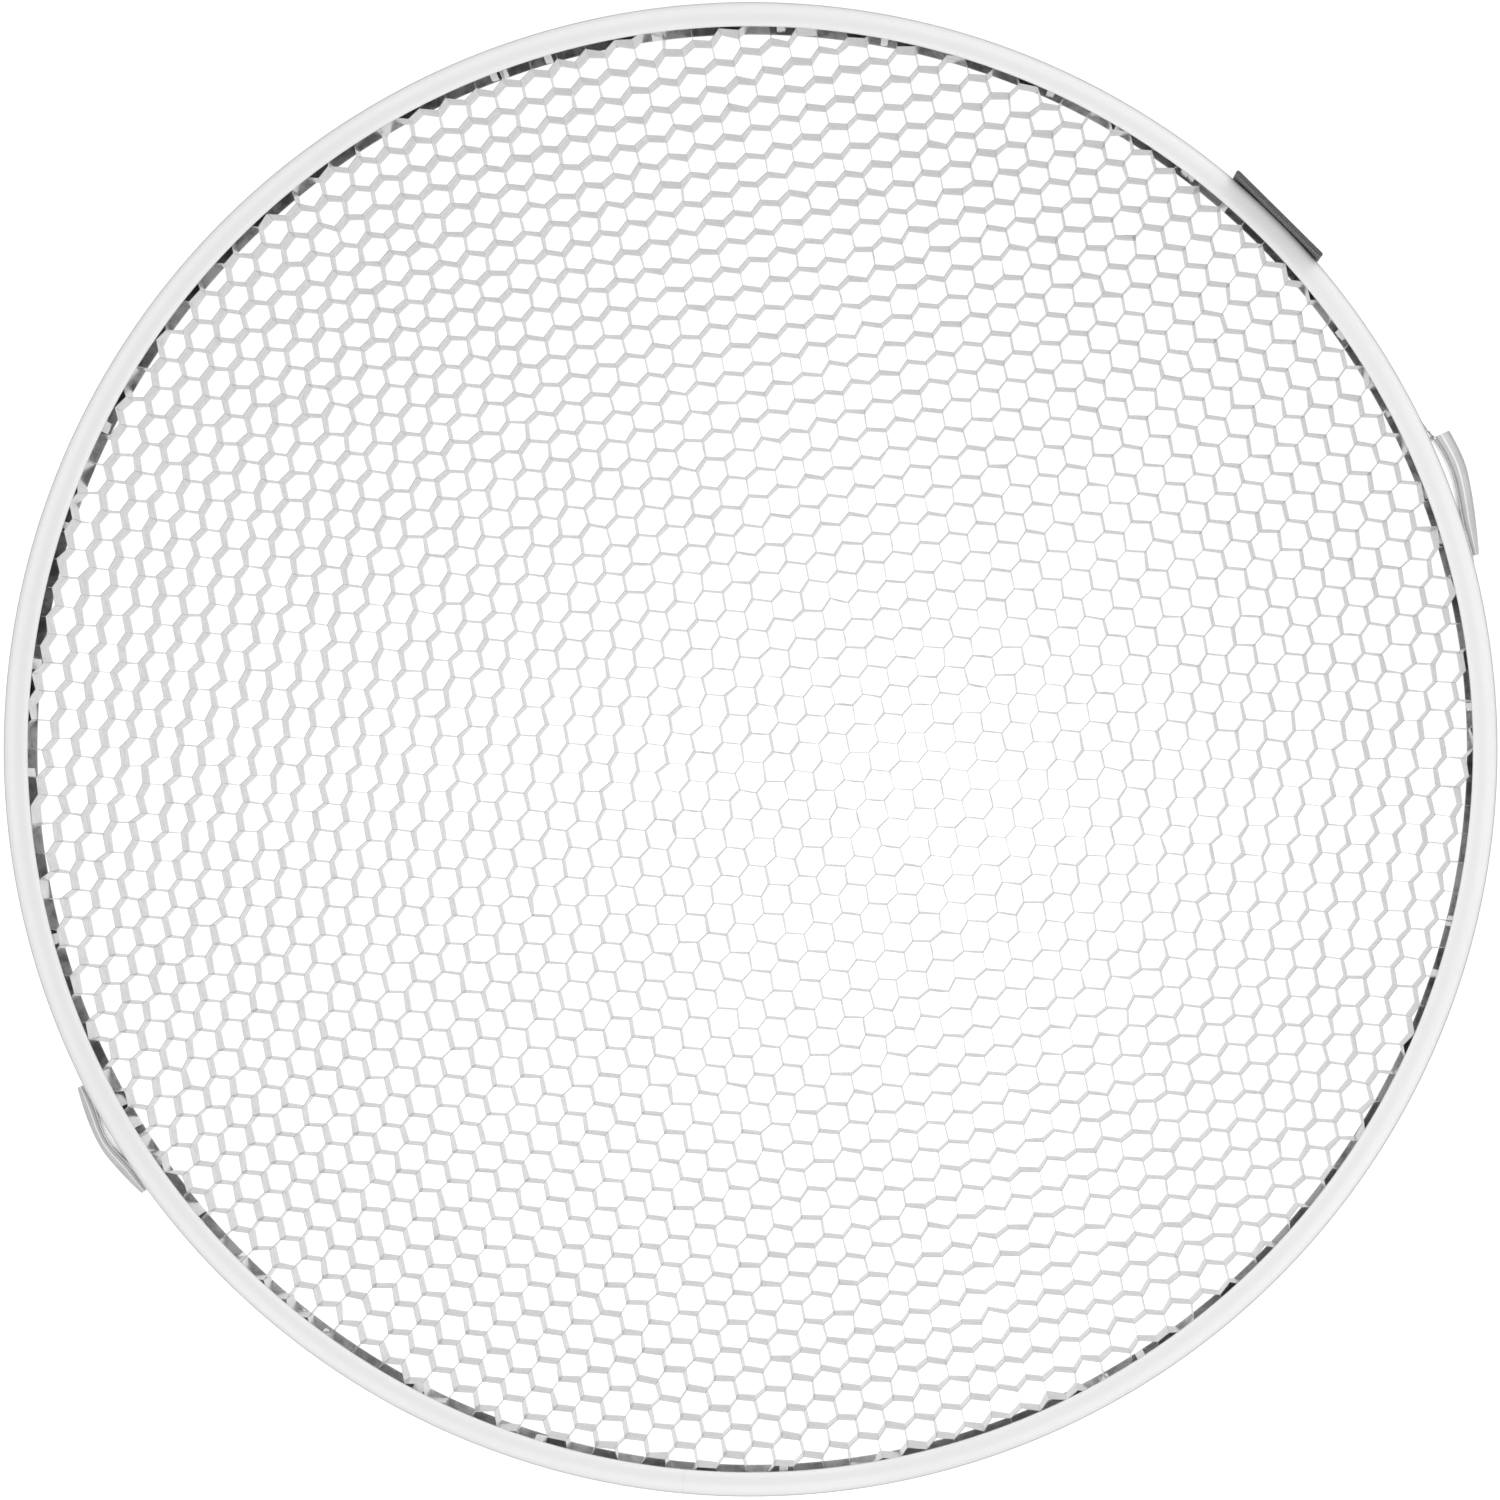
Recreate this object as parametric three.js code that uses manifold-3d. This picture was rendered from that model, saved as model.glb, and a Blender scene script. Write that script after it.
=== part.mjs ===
// Honeycomb grid for a round softlight reflector: a rolled channel ring holds a core of corrugated
// foil ribbons, two sprung clips grip the reflector's mouth and a webbing tab pulls the grid out.
// Millimetres, +Z up. The origin is on the ring's axis, in the plane of its rear face.

import * as THREE from 'three';
import { mergeVertices } from 'three/addons/utils/BufferGeometryUtils.js';
import Module from 'manifold-3d';

const wasm = await Module();
wasm.setup();

// ---------------------------------------------------------------- driving dimensions

const GAP = 0.3; // clearance between pieces that touch on the real grid

const RING_R = 257.5; // outer radius of the channel, for a 515 mm grid
const OPENING_R = 248.9; // inner edge of both flanges
const RING_DEPTH = 23;
const WALL = 1; // channel sheet thickness
const FRONT_ROUND = 2.4; // radius of the front outer corner
const REAR_ROUND = 1; // radius of the rear outer corner
const REAR_FILLET = 0.4; // size of the corner inside the channel, at its rear
const CROWN_FALL = 0.4; // how far the domed front flange falls towards its inner edge
const CROWN_W = 2.4; // width of the part of the flange that falls
const RING_SIDES = 100;
const SEAM_ANGLE = 265;

const CORE_R = 250.8; // the ribbons end under both flanges
const CORE_DEPTH = 20;
const CORE_Z = WALL + GAP;
const CELL_PITCH = 30; // three times the 10 mm pitch of the real cells
const RIBBON_COUNT = 33;
const RIBBON_T = 0.3; // three times the real 0.1 mm foil, so the core keeps its mass
const RIBBON_ANGLE = 48.3; // direction in which the ribbons run
const RIBBON_PITCH = CELL_PITCH * 0.498; // distance between neighbouring bond lines
const RIBBON_PERIOD = CELL_PITCH * 1.768; // length of one full corrugation
const BOND_LENGTH = CELL_PITCH * 0.527; // length of a wall shared by two ribbons

const LEAF_W = 10;
const LEAF_T = 0.6;
const LEAF_Z = RING_DEPTH / 2;
const FOOT_REACH = 8.3; // degrees from the clip's pivot back to the end of its foot
const BUMPER_W = 9;
const SLOT_W = LEAF_W + 1.6;
const FOOT_SLOT = { start: 4.3, end: 0.9 }; // degrees before the pivot, where the leaf comes out
const LEAF_CLIMB = { start: 4, end: 1.3 }; // degrees before the pivot, where the leaf rises through it
const CLIP_RIVET_STEPS = [7.4, 5.6]; // degrees before the pivot
const CLIPS = [
  // Angles in degrees along the ring, heights in millimetres above its outer wall.
  {
    name: 'clip_1',
    pivot: 16.3,
    arch: { start: 16.6, end: 27.2, height: 3.1 },
    tail: 26.2,
    slot: { start: 21.8, end: 27 },
    bumper: [[14.9, 3.3], [17.2, 5.3], [19.7, 7.4], [21.8, 8.7], [24.4, 8.2]],
  },
  {
    name: 'clip_2',
    pivot: 207.4,
    arch: { start: 208, end: 214.6, height: 2.6 },
    tail: 216.9,
    slot: { start: 211.9, end: 217.8 },
    bumper: [[206.8, 3.5], [209.3, 5.6], [211.7, 6.5], [213.9, 5.4], [216.2, 3.5]],
  },
];

const TAB_ANGLE = 45.1;
const TAB_W = 41;
const TAB_T = 1.5;
const TAB_Z = 3; // height of its lower edge
const TAB_TOP = 9; // how far the tab stands in front of the ring
const TAB_BEND = RING_DEPTH + 0.3; // height of the line it flexes about
const TAB_SPLIT = 1.1; // space left at that line, so that the flap's edges clear the foot
const TAB_RIVET_SIDES = [-13, 13]; // steps along the ring from the tab's middle
const TAB_RIVET_Z = 11;
const TAB_HOLLOW = 0.5; // how far the round wall falls away behind the flat tab's rivets

const SPLICE_SPAN = 10; // degrees
const SPLICE_T = 0.8;
const SPLICE_H = 17;
const SPLICE_RIVET_STEPS = [-2.6, 2.6]; // degrees from the seam
const SPLICE_RIVET_Z = [6.5, 16.5];

const RIVET_HOLE_R = 1.5;
const RIVET_SHANK_R = 1.2;
const RIVET_SINK_R = 2; // largest radius of a flush head
const RIVET_HEAD_R = 2.4; // radius of a domed head
const RIVET_HEAD_H = 0.8;
const RIVET_TAIL_R = 2;
const RIVET_TAIL_H = 0.8;
const RIVET_SIDES = 10;
const FLUSH_DEPTH = 0.05; // how far a flush head lies below the wall's surface

const TOOL_REACH = 5; // how far the cutting tools reach on both sides of the wall

// ---------------------------------------------------------------- materials

const material = (color, roughness, metalness) =>
  new THREE.MeshStandardMaterial({ color, roughness, metalness });

const MATERIALS = {
  ring: material(0xe6e6e4, 0.35, 0.9),
  foil: material(0xd8d9da, 0.3, 1),
  steel: material(0xc4c5c7, 0.28, 1),
  bumper: material(0xc9cacb, 0.45, 0),
  webbing: material(0x3c3d40, 0.85, 0),
  rivet: material(0xcfcfd0, 0.3, 1),
};

// ---------------------------------------------------------------- helpers

const rad = THREE.MathUtils.degToRad;
const { smoothstep } = THREE.MathUtils;

/** A point at a height above the outer wall, at an angle around the ring. */
function onRing(degrees, height, z) {
  const r = RING_R + height;
  return new THREE.Vector3(r * Math.cos(rad(degrees)), r * Math.sin(rad(degrees)), z);
}

function toSolid(geometry) {
  const bare = geometry.clone();
  bare.deleteAttribute('normal');
  bare.deleteAttribute('uv');
  const merged = mergeVertices(bare, 1e-4);
  return new wasm.Manifold(
    new wasm.Mesh({
      numProp: 3,
      vertProperties: new Float32Array(merged.attributes.position.array),
      triVerts: new Uint32Array(merged.index.array),
    }),
  );
}

function toGeometry(solid) {
  const mesh = solid.getMesh();
  const geometry = new THREE.BufferGeometry();
  geometry.setAttribute('position', new THREE.BufferAttribute(mesh.vertProperties, 3));
  geometry.setIndex(new THREE.BufferAttribute(mesh.triVerts, 1));
  return geometry;
}

/** The first geometry with all the others cut out of it. */
function cut(geometry, tools) {
  return toGeometry(tools.reduce((solid, tool) => solid.subtract(toSolid(tool)), toSolid(geometry)));
}

/** A closed solid through a row of convex cross-sections with equal numbers of points. */
function loft(sections) {
  const n = sections[0].length;
  const index = [];
  for (let s = 0; s + 1 < sections.length; s += 1) {
    for (let i = 0; i < n; i += 1) {
      const a = s * n + i;
      const b = s * n + ((i + 1) % n);
      index.push(a, b, b + n, a, b + n, a + n);
    }
  }
  const last = (sections.length - 1) * n;
  for (let i = 1; i + 1 < n; i += 1) {
    index.push(0, i + 1, i, last, last + i, last + i + 1);
  }
  const geometry = new THREE.BufferGeometry().setFromPoints(sections.flat());
  geometry.setIndex(index);
  return geometry;
}

/** Turns a geometry made along +X, about the origin, to point outwards at an angle and height. */
function placeRadially(geometry, degrees, z) {
  return geometry.rotateZ(rad(degrees)).translate(0, 0, z);
}

/** A slot for a leaf to pass through the wall, between two angles. */
function wallSlot(startAngle, endAngle) {
  const width = 2 * RING_R * Math.sin(rad(endAngle - startAngle) / 2);
  const box = new THREE.BoxGeometry(2 * TOOL_REACH, width, SLOT_W).translate(RING_R, 0, 0);
  return placeRadially(box, (startAngle + endAngle) / 2, LEAF_Z);
}

/** A hole for a rivet at a site: an angle, a sideways step from it along the ring, and a height. */
function rivetHole({ angle, side, z }) {
  const hole = new THREE.CylinderGeometry(RIVET_HOLE_R, RIVET_HOLE_R, 2 * TOOL_REACH, RIVET_SIDES);
  return placeRadially(hole.rotateZ(Math.PI / 2).translate(RING_R, side, 0), angle, z);
}

/** The cone that lets a flush rivet's head sink into the outer wall. */
function countersink({ angle, side, z }) {
  const depth = WALL + GAP;
  const cone = new THREE.CylinderGeometry(RIVET_HOLE_R, RIVET_SINK_R + GAP, depth, RIVET_SIDES);
  return placeRadially(cone.rotateZ(Math.PI / 2).translate(RING_R - depth / 2 + GAP, side, 0), angle, z);
}

/** A turned rivet at a site: its tail sits inside tailR, then come the shank and the given head. */
function rivet(tailR, head, { angle, side, z }) {
  const profile = [
    [0, tailR - RIVET_TAIL_H],
    [RIVET_TAIL_R * 0.8, tailR - RIVET_TAIL_H],
    [RIVET_TAIL_R, tailR - RIVET_TAIL_H / 2],
    [RIVET_TAIL_R, tailR],
    [RIVET_SHANK_R, tailR],
    ...head,
  ].map(([x, y]) => new THREE.Vector2(x, y));
  const lathe = new THREE.LatheGeometry(profile, RIVET_SIDES).rotateZ(-Math.PI / 2);
  return placeRadially(lathe.translate(0, side, 0), angle, z);
}

const flushHead = () => [
  [RIVET_SHANK_R, RING_R - WALL],
  [RIVET_SINK_R, RING_R - FLUSH_DEPTH],
  [0, RING_R - FLUSH_DEPTH],
];

const domedHead = (seat) => [
  [RIVET_SHANK_R, seat],
  [RIVET_HEAD_R, seat],
  [RIVET_HEAD_R * 0.75, seat + RIVET_HEAD_H * 0.6],
  [RIVET_HEAD_R * 0.35, seat + RIVET_HEAD_H],
  [0, seat + RIVET_HEAD_H],
];

// ---------------------------------------------------------------- where the rivets go

const clipRivets = (clip) =>
  CLIP_RIVET_STEPS.map((step) => ({ angle: clip.pivot - step, side: 0, z: LEAF_Z }));
const spliceRivets = SPLICE_RIVET_STEPS.flatMap((step) =>
  SPLICE_RIVET_Z.map((z) => ({ angle: SEAM_ANGLE + step, side: 0, z })),
);
const tabRivets = TAB_RIVET_SIDES.map((side) => ({ angle: TAB_ANGLE, side, z: TAB_RIVET_Z }));

// ---------------------------------------------------------------- ring

/** The channel's closed section, as (radius, height) points. */
function ringProfile() {
  const points = [[OPENING_R, 0], [RING_R - REAR_ROUND, 0], [RING_R, REAR_ROUND]];
  const outer = RING_R - FRONT_ROUND;
  const corner = RING_DEPTH - FRONT_ROUND;
  const steps = 3;
  for (let i = 0; i <= steps; i += 1) {
    const a = (i / steps) * Math.PI * 0.5;
    points.push([outer + FRONT_ROUND * Math.cos(a), corner + FRONT_ROUND * Math.sin(a)]);
  }
  points.push([OPENING_R + CROWN_W, RING_DEPTH]);
  points.push([OPENING_R, RING_DEPTH - CROWN_FALL]);
  points.push([OPENING_R, RING_DEPTH - CROWN_FALL - WALL]);
  points.push([OPENING_R + CROWN_W, RING_DEPTH - WALL]);
  points.push([outer, RING_DEPTH - WALL]);
  points.push([RING_R - WALL, corner]);
  points.push([RING_R - WALL, WALL + REAR_FILLET]);
  points.push([RING_R - WALL - REAR_FILLET, WALL]);
  points.push([OPENING_R, WALL]);
  points.push(points[0]);
  const cornerShare = 1 / Math.cos(Math.PI / RING_SIDES); // the flats then lie at the true radius
  return points.map(([r, z]) => new THREE.Vector2(r * cornerShare, z));
}

function frameRing() {
  const half = Math.PI / RING_SIDES;
  const whole = new THREE.LatheGeometry(ringProfile(), RING_SIDES).rotateX(Math.PI / 2).rotateZ(half);
  const seam = new THREE.BoxGeometry(4 * TOOL_REACH, GAP, 2 * RING_DEPTH).translate(RING_R, 0, 0);
  const tools = [placeRadially(seam, SEAM_ANGLE, RING_DEPTH / 2)];
  for (const site of [...CLIPS.flatMap(clipRivets), ...spliceRivets, ...tabRivets]) {
    tools.push(rivetHole(site));
  }
  for (const site of [...CLIPS.flatMap(clipRivets), ...spliceRivets]) {
    tools.push(countersink(site));
  }
  for (const clip of CLIPS) {
    tools.push(wallSlot(clip.pivot - FOOT_SLOT.start, clip.pivot - FOOT_SLOT.end));
    tools.push(wallSlot(clip.slot.start, clip.slot.end));
  }
  return cut(whole, tools);
}

function splicePlate() {
  const outer = RING_R - WALL - GAP;
  const shape = new THREE.Shape();
  const start = rad(SEAM_ANGLE - SPLICE_SPAN / 2);
  const end = rad(SEAM_ANGLE + SPLICE_SPAN / 2);
  shape.absarc(0, 0, outer, start, end, false);
  shape.absarc(0, 0, outer - SPLICE_T, end, start, true);
  const plate = new THREE.ExtrudeGeometry(shape, {
    depth: SPLICE_H,
    bevelEnabled: false,
    curveSegments: 8,
  }).translate(0, 0, (RING_DEPTH - SPLICE_H) / 2);
  return cut(plate, spliceRivets.map(rivetHole));
}

// ---------------------------------------------------------------- core

/** Centre line of a ribbon, in its own (along, across) frame, cut off where it leaves the core. */
function ribbonLine(row) {
  const across = (row - (RIBBON_COUNT - 1) / 2) * RIBBON_PITCH;
  const inset = (RIBBON_T + GAP) / 2;
  const level = { up: across + RIBBON_PITCH / 2 - inset, down: across - RIBBON_PITCH / 2 + inset };
  const corners = (bond) => {
    const middle = (bond * RIBBON_PERIOD) / 2;
    const v = (bond + row) % 2 === 0 ? level.up : level.down;
    return [new THREE.Vector2(middle - BOND_LENGTH / 2, v), new THREE.Vector2(middle + BOND_LENGTH / 2, v)];
  };
  const walk = (points) => {
    const kept = [points[0]];
    for (let i = 1; i < points.length; i += 1) {
      if (points[i].length() > CORE_R) {
        const inside = kept.at(-1);
        const step = points[i].clone().sub(inside);
        const b = inside.dot(step);
        const c = inside.lengthSq() - CORE_R ** 2;
        const t = (-b + Math.sqrt(b * b - step.lengthSq() * c)) / step.lengthSq();
        kept.push(inside.clone().addScaledVector(step, t));
        return kept;
      }
      kept.push(points[i]);
    }
    return kept;
  };
  const reach = Math.ceil((2 * CORE_R) / RIBBON_PERIOD) + 1;
  const forward = [];
  const backward = [];
  for (let bond = 0; bond <= reach; bond += 1) {
    const [near, far] = corners(bond);
    const [mirrorFar, mirrorNear] = corners(-bond);
    forward.push(...(bond === 0 ? [far] : [near, far]));
    backward.push(...(bond === 0 ? [mirrorFar] : [mirrorNear, mirrorFar]));
  }
  return [...walk(backward).reverse(), ...walk(forward)];
}

/** A strip of constant thickness along a bent line, as an outline with mitred corners. */
function stripShape(line, thickness) {
  const sides = [[], []];
  line.forEach((point, i) => {
    const before = point.clone().sub(line[Math.max(i - 1, 0)]).normalize();
    const after = line[Math.min(i + 1, line.length - 1)].clone().sub(point).normalize();
    const along = before.clone().add(after).normalize();
    const normal = new THREE.Vector2(-along.y, along.x);
    const straight = after.lengthSq() > 0 ? after : before;
    const mitre = thickness / 2 / Math.abs(along.dot(straight));
    sides[0].push(point.clone().addScaledVector(normal, -mitre));
    sides[1].unshift(point.clone().addScaledVector(normal, mitre));
  });
  return new THREE.Shape(sides.flat());
}

function ribbon(row) {
  const shape = stripShape(ribbonLine(row), RIBBON_T);
  const strip = new THREE.ExtrudeGeometry(shape, { depth: CORE_DEPTH, bevelEnabled: false });
  return strip.translate(0, 0, CORE_Z).rotateZ(rad(RIBBON_ANGLE));
}

// ---------------------------------------------------------------- spring clips

/** Height of the leaf's middle above the outer wall. */
function leafHeight(clip, degrees) {
  const inside = -WALL - GAP - LEAF_T / 2;
  const outside = GAP + LEAF_T / 2;
  const climb = smoothstep(degrees, clip.pivot - LEAF_CLIMB.start, clip.pivot - LEAF_CLIMB.end);
  const along = (degrees - clip.arch.start) / (clip.arch.end - clip.arch.start);
  const arch = along > 0 && along < 1 ? Math.sin(Math.PI * along) ** 2 : 0;
  return inside + (outside - inside) * climb + (clip.arch.height - outside) * arch;
}

function leaf(clip, start, end, steps) {
  const sections = [];
  for (let i = 0; i <= steps; i += 1) {
    const degrees = start + ((end - start) * i) / steps;
    const middle = leafHeight(clip, degrees);
    const [low, high] = [middle - LEAF_T / 2, middle + LEAF_T / 2];
    const [back, front] = [LEAF_Z - LEAF_W / 2, LEAF_Z + LEAF_W / 2];
    sections.push([
      onRing(degrees, low, back),
      onRing(degrees, low, front),
      onRing(degrees, high, front),
      onRing(degrees, high, back),
    ]);
  }
  return loft(sections);
}

const jointGap = THREE.MathUtils.radToDeg(GAP / RING_R) / 2;

function leafFoot(clip) {
  const plain = leaf(clip, clip.pivot - FOOT_REACH, clip.pivot - jointGap, 14);
  return cut(plain, clipRivets(clip).map(rivetHole));
}

function leafArm(clip) {
  return leaf(clip, clip.pivot + jointGap, clip.tail, 14);
}

/** The half-round pad on the leaf's outer side. */
function bumper(clip) {
  const outline = new THREE.SplineCurve(clip.bumper.map(([a, h]) => new THREE.Vector2(a, h)));
  const half = BUMPER_W / 2;
  const sections = outline.getPoints(12).map(({ x: degrees, y: top }) => {
    const base = Math.max(leafHeight(clip, degrees), 0) + LEAF_T / 2 + GAP;
    const rise = top - base;
    return [
      [0, -half],
      [0, half],
      [0.45, half * 0.93],
      [0.87, half * 0.6],
      [1, half * 0.2],
      [1, -half * 0.2],
      [0.87, -half * 0.6],
      [0.45, -half * 0.93],
    ].map(([share, z]) => onRing(degrees, base + rise * share, LEAF_Z + z));
  });
  return loft(sections);
}

// ---------------------------------------------------------------- pull tab

function tabPanel(zLow, zHigh) {
  const panel = new THREE.BoxGeometry(TAB_T, TAB_W, zHigh - zLow);
  return placeRadially(panel.translate(RING_R + GAP + TAB_T / 2, 0, 0), TAB_ANGLE, (zLow + zHigh) / 2);
}

const tabFoot = () => cut(tabPanel(TAB_Z, TAB_BEND - TAB_SPLIT / 2), tabRivets.map(rivetHole));

const tabFlap = () => tabPanel(TAB_BEND + TAB_SPLIT / 2, RING_DEPTH + TAB_TOP);

// ---------------------------------------------------------------- assembly

const grid = new THREE.Group();

function add(name, geometry, finish) {
  const mesh = new THREE.Mesh(geometry, finish);
  mesh.name = name;
  grid.add(mesh);
}

add('frame_ring', frameRing(), MATERIALS.ring);
add('splice_plate', splicePlate(), MATERIALS.ring);
spliceRivets.forEach((site, i) => {
  const tail = RING_R - WALL - SPLICE_T - 2 * GAP;
  add(`splice_rivet_${i + 1}`, rivet(tail, flushHead(), site), MATERIALS.rivet);
});

for (let row = 0; row < RIBBON_COUNT; row += 1) {
  add(`foil_ribbon_${String(row + 1).padStart(2, '0')}`, ribbon(row), MATERIALS.foil);
}

for (const clip of CLIPS) {
  add(`${clip.name}_leaf_foot`, leafFoot(clip), MATERIALS.steel);
  add(`${clip.name}_leaf_arm`, leafArm(clip), MATERIALS.steel);
  add(`${clip.name}_bumper`, bumper(clip), MATERIALS.bumper);
  clipRivets(clip).forEach((site, i) => {
    const tail = RING_R - WALL - LEAF_T - 2 * GAP;
    add(`${clip.name}_rivet_${i + 1}`, rivet(tail, flushHead(), site), MATERIALS.rivet);
  });
}

add('tab_foot', tabFoot(), MATERIALS.webbing);
add('tab_flap', tabFlap(), MATERIALS.webbing);
tabRivets.forEach((site, i) => {
  const tail = RING_R - WALL - TAB_HOLLOW - GAP;
  add(`tab_rivet_${i + 1}`, rivet(tail, domedHead(RING_R + TAB_T + 2 * GAP), site), MATERIALS.rivet);
});

export default grid;
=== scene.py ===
"""Looks of the round honeycomb grid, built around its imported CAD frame. Metres, +Z towards the front."""

import math

import bpy
import numpy as np
from mathutils import Matrix, Vector


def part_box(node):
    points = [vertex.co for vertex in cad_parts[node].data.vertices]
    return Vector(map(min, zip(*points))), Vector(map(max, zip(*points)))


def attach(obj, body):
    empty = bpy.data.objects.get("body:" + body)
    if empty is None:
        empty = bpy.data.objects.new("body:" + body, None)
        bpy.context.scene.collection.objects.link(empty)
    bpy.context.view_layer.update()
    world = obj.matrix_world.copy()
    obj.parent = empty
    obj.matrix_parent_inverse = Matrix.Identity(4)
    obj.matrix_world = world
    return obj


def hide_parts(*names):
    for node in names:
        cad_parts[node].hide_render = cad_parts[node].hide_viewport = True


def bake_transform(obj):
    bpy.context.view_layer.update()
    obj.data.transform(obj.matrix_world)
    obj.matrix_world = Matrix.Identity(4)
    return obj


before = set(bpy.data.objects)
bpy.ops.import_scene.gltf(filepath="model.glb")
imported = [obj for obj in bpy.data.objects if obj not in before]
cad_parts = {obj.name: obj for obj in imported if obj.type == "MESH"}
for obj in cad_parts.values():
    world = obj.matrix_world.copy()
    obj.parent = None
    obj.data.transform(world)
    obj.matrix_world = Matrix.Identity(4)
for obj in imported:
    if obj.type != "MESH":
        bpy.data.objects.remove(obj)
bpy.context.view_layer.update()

MM = 0.001

# ---------------------------------------------------------------- sizes

RING_LOW, RING_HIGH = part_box("frame_ring")
RING_R = (RING_HIGH.x - RING_LOW.x) / 2
RING_DEPTH = RING_HIGH.z
WALL = 1.0 * MM
OPENING_R = RING_R - 8.6 * MM
FRONT_ROUND = 2.4 * MM
REAR_ROUND = 1.0 * MM
MID_Z = RING_DEPTH / 2

SEAM_ANGLE = 265
SEAM_WIDTH = 0.05 * MM

RIBBON_ANGLE = math.radians(48.3)
BOND_SPACING = 4.98 * MM  # between neighbouring lines of glued walls
BOND_PERIOD = 17.68 * MM  # between glued walls on one line
BOND_SLIP = 0.075 * MM  # what the stagger falls short of half a period from line to line
BOND_LENGTH = 5.27 * MM
BOND_TILT = math.radians(1.7)  # mean turn of a glued wall from the ribbons' direction
BOND_SWAY = math.radians(13)  # neighbouring lines lean opposite ways, in patches
BOND_WOBBLE = math.radians(3)
FIRST_BOND = (11.02 * MM, -2.08 * MM)  # a glued wall's place along and across the ribbons
HALF_RIBBONS = 50  # ribbons each side of the middle one
FOIL_T = 0.1 * MM
GLUE_T = 0.02 * MM
CORE_BACK = WALL + 0.03 * MM
CORE_FRONT = 21.2 * MM
CORE_R = 254.0 * MM
CORE_R_AT_CLIPS = 251.4 * MM
FOLDED_SHARE = 0.22  # of the ribbons' ends
FOLDED_R = 248.8 * MM

LEAF_T = 0.6 * MM
LEAF_W = 10 * MM
FOOT_REACH = 8.3
BUMPER_W = 9 * MM
CLIPS = [
    # Angles in degrees along the ring, heights in millimetres above its outer wall.
    {
        "name": "clip_1",
        "pivot": 16.3,
        "arch": (16.6, 27.2, 3.1),
        "tail": 26.2,
        "slot": (21.8, 27.0),
        "bumper": [(14.9, 3.3), (17.2, 5.3), (19.7, 7.4), (21.8, 8.7), (24.4, 8.2)],
        "peg": 24.4,
    },
    {
        "name": "clip_2",
        "pivot": 207.4,
        "arch": (208.0, 214.6, 2.6),
        "tail": 216.9,
        "slot": (211.9, 217.8),
        "bumper": [(206.8, 3.5), (209.3, 5.6), (211.7, 6.5), (213.9, 5.4), (216.2, 3.5)],
        "peg": 213.7,
    },
]

TAB_ANGLE = 45.1
TAB_W = 41 * MM
TAB_T = 1.5 * MM
TAB_Z = 3 * MM
TAB_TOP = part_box("tab_flap")[1].z

SPLICE_SPAN = 10
SPLICE_T = 0.8 * MM
SPLICE_H = 17 * MM

# ---------------------------------------------------------------- node helpers


class Shader:
    """A node tree with one Principled shader, built up by short calls."""

    def __init__(self, name):
        self.material = bpy.data.materials.new(name)
        self.material.use_nodes = True
        self.nodes = self.material.node_tree.nodes
        self.links = self.material.node_tree.links
        self.surface = self.nodes["Principled BSDF"]

    def feed(self, socket, value):
        """Puts a constant or another node's output into a socket."""
        if isinstance(value, bpy.types.NodeSocket):
            self.links.new(value, socket)
        else:
            socket.default_value = value

    def set(self, **values):
        for name, value in values.items():
            if isinstance(value, tuple) and len(value) == 3:
                value = (*value, 1)
            self.feed(self.surface.inputs[name.replace("_", " ")], value)

    def place(self):
        """Position on the object, in metres."""
        return self.nodes.new("ShaderNodeTexCoord").outputs["Object"]

    def along(self):
        """The piece's own running coordinates: length along it and height or width, in metres."""
        node = self.nodes.new("ShaderNodeUVMap")
        node.uv_map = "along"
        return node.outputs["UV"]

    def normal(self):
        """Which way the surface faces, in the object's own axes."""
        return self.nodes.new("ShaderNodeTexCoord").outputs["Normal"]

    def scaled(self, vector, scale):
        node = self.nodes.new("ShaderNodeMapping")
        node.inputs["Scale"].default_value = scale
        self.links.new(vector, node.inputs["Vector"])
        return node.outputs["Vector"]

    def parts(self, vector):
        node = self.nodes.new("ShaderNodeSeparateXYZ")
        self.links.new(vector, node.inputs["Vector"])
        return node.outputs["X"], node.outputs["Y"], node.outputs["Z"]

    def noise(self, vector, scale, detail, roughness=0.55):
        node = self.nodes.new("ShaderNodeTexNoise")
        self.links.new(vector, node.inputs["Vector"])
        node.inputs["Scale"].default_value = scale
        node.inputs["Detail"].default_value = detail
        node.inputs["Roughness"].default_value = roughness
        return node.outputs["Fac"]

    def math(self, operation, *values):
        node = self.nodes.new("ShaderNodeMath")
        node.operation = operation
        for socket, value in zip(node.inputs, values):
            self.feed(socket, value)
        return node.outputs["Value"]

    def ramp(self, value, low, high, to_low=0.0, to_high=1.0):
        """Maps low..high smoothly onto to_low..to_high."""
        node = self.nodes.new("ShaderNodeMapRange")
        node.interpolation_type = "SMOOTHSTEP"
        for socket, number in zip(list(node.inputs)[:5], (value, low, high, to_low, to_high)):
            self.feed(socket, number)
        return node.outputs["Result"]

    def mix(self, share, a, b):
        """A colour between a and b."""
        node = self.nodes.new("ShaderNodeMix")
        node.data_type = "RGBA"
        colours = [s for s in node.inputs if s.type == "RGBA"]
        self.feed(node.inputs["Factor"], share)
        for socket, colour in zip(colours, (a, b)):
            self.feed(socket, (*colour, 1) if isinstance(colour, tuple) else colour)
        return next(s for s in node.outputs if s.type == "RGBA")

    def bump(self, height, distance, strength):
        node = self.nodes.new("ShaderNodeBump")
        node.inputs["Strength"].default_value = strength
        node.inputs["Distance"].default_value = distance
        self.links.new(height, node.inputs["Height"])
        self.links.new(node.outputs["Normal"], self.surface.inputs["Normal"])


def grey(value):
    return (value, value, value * 1.003)


# ---------------------------------------------------------------- materials


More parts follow.
